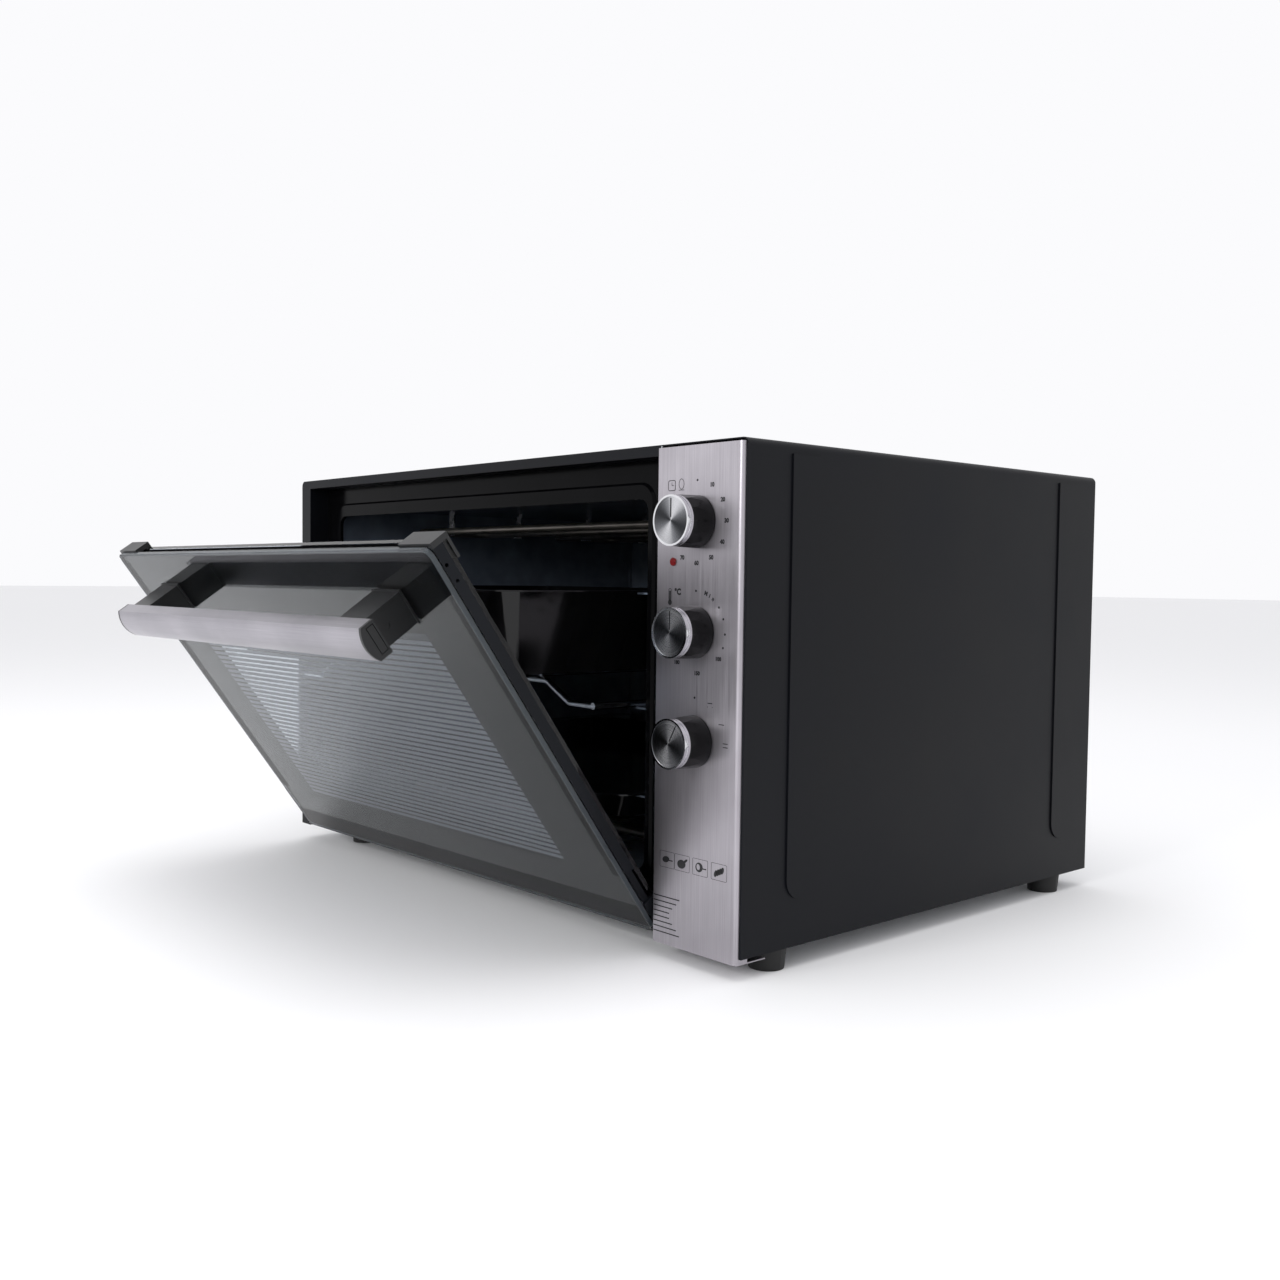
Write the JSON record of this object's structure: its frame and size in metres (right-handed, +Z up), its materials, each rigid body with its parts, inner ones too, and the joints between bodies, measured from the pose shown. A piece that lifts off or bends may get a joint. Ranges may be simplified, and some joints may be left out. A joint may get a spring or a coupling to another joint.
{
  "type": "countertop rotisserie oven",
  "caption": "Countertop oven with a drop-down double-glass door, deep and shallow trays, a wire rack, tube heaters, a rotisserie drive and a side control panel with dials.",
  "frame": {"origin": "centre of the casing's footprint, on the plane its feet stand on", "axes": "+Z up; -Y towards the door and control panel (the front); +X towards the control panel's side"},
  "size_m": [0.6024, 0.6362, 0.3498],
  "materials": {
    "casing_black": "satin black powder coat with a fine texture",
    "base_galvanised": "plain galvanised sheet",
    "frame_enamel": "glossy black vitreous enamel",
    "cavity_enamel": "dark blue-grey enamel, semi-gloss",
    "tray_enamel": "glossy black enamel",
    "panel_steel": "vertically brushed stainless steel",
    "heater_steel": "dull heater sheath",
    "bright_steel": "bright zinc-plated steel",
    "rack_chrome": "bright chrome-plated wire",
    "trim_chrome": "polished chrome",
    "knob_face_aluminium": "spun aluminium",
    "handle_aluminium": "satin anodised aluminium",
    "profile_steel": "satin grey-blue coated channel",
    "gloss_black": "glossy black phenolic",
    "satin_black": "satin black plastic",
    "rubber_black": "black rubber",
    "lamp_red": "red lamp lens",
    "ceramic_white": "unglazed steatite",
    "white_plastic": "off-white plastic",
    "door_glass_outer": "clear toughened glass with a black printed border",
    "door_glass_inner": "clear toughened glass with a black printed border",
    "brass": "plain brass"
  },
  "bodies": {
    "casing": {"base_pan": "base_galvanised", "cavity_back": "cavity_enamel", "cavity_floor": "cavity_enamel", "cavity_left": "cavity_enamel", "cavity_right": "cavity_enamel", "cavity_stays": "base_galvanised", "cavity_top": "cavity_enamel", "control_panel": "panel_steel", "cord_inlet": "satin_black", "feet": "rubber_black", "foot_screws": "bright_steel", "front_frame": "frame_enamel", "heater_clips": "bright_steel", "heater_end_plates": "bright_steel", "heater_insulators": "ceramic_white", "hinge_bushes": "brass", "indicator_lamp": "lamp_red", "lamp_holder": "white_plastic", "lower_heater": "heater_steel", "outer_wrap": "casing_black", "partition": "base_galvanised", "rear_panel": "base_galvanised", "rear_screws": "bright_steel", "rotisserie_motor": "base_galvanised", "selector_works": "satin_black", "shelf_guides": "cavity_enamel", "spit_bearing": "bright_steel", "terminal_block": "white_plastic", "thermostat_sensor": "brass", "thermostat_works": "bright_steel", "timer_works": "bright_steel", "upper_heater": "heater_steel"},
    "door": {"outer_glass": "door_glass_outer", "inner_glass": "door_glass_inner", "door_profiles": "profile_steel", "door_bottom_rail": "profile_steel", "hinge_leaves": "profile_steel", "hinge_pins": "bright_steel", "door_corner_caps": "satin_black", "handle_bar": "handle_aluminium", "handle_end_caps": "satin_black", "handle_brackets": "satin_black", "handle_screws": "satin_black"},
    "upper_tray_slide": {"upper_tray": "tray_enamel"},
    "rack_slide": {"wire_rack": "rack_chrome"},
    "lower_tray_slide": {"lower_tray": "tray_enamel"},
    "rotisserie_drive": {"drive_socket": "bright_steel"},
    "timer_dial": {"timer_knob": "gloss_black", "timer_ring": "trim_chrome", "timer_face": "knob_face_aluminium", "timer_shaft": "bright_steel"},
    "thermostat_dial": {"thermostat_knob": "gloss_black", "thermostat_ring": "trim_chrome", "thermostat_face": "knob_face_aluminium", "thermostat_shaft": "bright_steel"},
    "selector_dial": {"selector_knob": "gloss_black", "selector_ring": "trim_chrome", "selector_face": "knob_face_aluminium", "selector_shaft": "bright_steel"}
  },
  "joints": [
    {"name": "door_hinge", "type": "hinge", "parent": "casing", "child": "door", "pos_m": [0, -0.20791, 0.03147], "axis": [1, 0, 0], "range_deg": [-35.5, 46.5]},
    {"name": "upper_tray_pull", "type": "slide", "parent": "casing", "child": "upper_tray_slide", "axis": [0, -1, 0], "range_m": [-0.12602, 0.16506]},
    {"name": "rack_pull", "type": "slide", "parent": "casing", "child": "rack_slide", "axis": [0, -1, 0], "range_m": [-0.03392, 0.04442]},
    {"name": "lower_tray_pull", "type": "slide", "parent": "casing", "child": "lower_tray_slide", "axis": [0, -1, 0], "range_m": [-0.01582, 0.02072]},
    {"name": "timer_turn", "type": "hinge", "parent": "casing", "child": "timer_dial", "pos_m": [0.257, -0.2165, 0.2969], "axis": [0, 1, 0], "range_deg": [0, 210]},
    {"name": "thermostat_turn", "type": "hinge", "parent": "casing", "child": "thermostat_dial", "pos_m": [0.257, -0.2165, 0.2243], "axis": [0, 1, 0], "range_deg": [0, 280]},
    {"name": "selector_turn", "type": "hinge", "parent": "casing", "child": "selector_dial", "pos_m": [0.257, -0.2165, 0.152], "axis": [0, 1, 0], "range_deg": [-30, 60]},
    {"name": "spit_drive", "type": "hinge", "parent": "casing", "child": "rotisserie_drive", "pos_m": [0.19, -0.0035, 0.1815], "axis": [1, 0, 0], "continuous": true}
  ],
  "couplings": [
    {"joint": "upper_tray_pull", "follows": "door_hinge", "m_per_rad": 0.20336},
    {"joint": "rack_pull", "follows": "door_hinge", "m_per_rad": 0.05471},
    {"joint": "lower_tray_pull", "follows": "door_hinge", "m_per_rad": 0.0255}
  ]
}
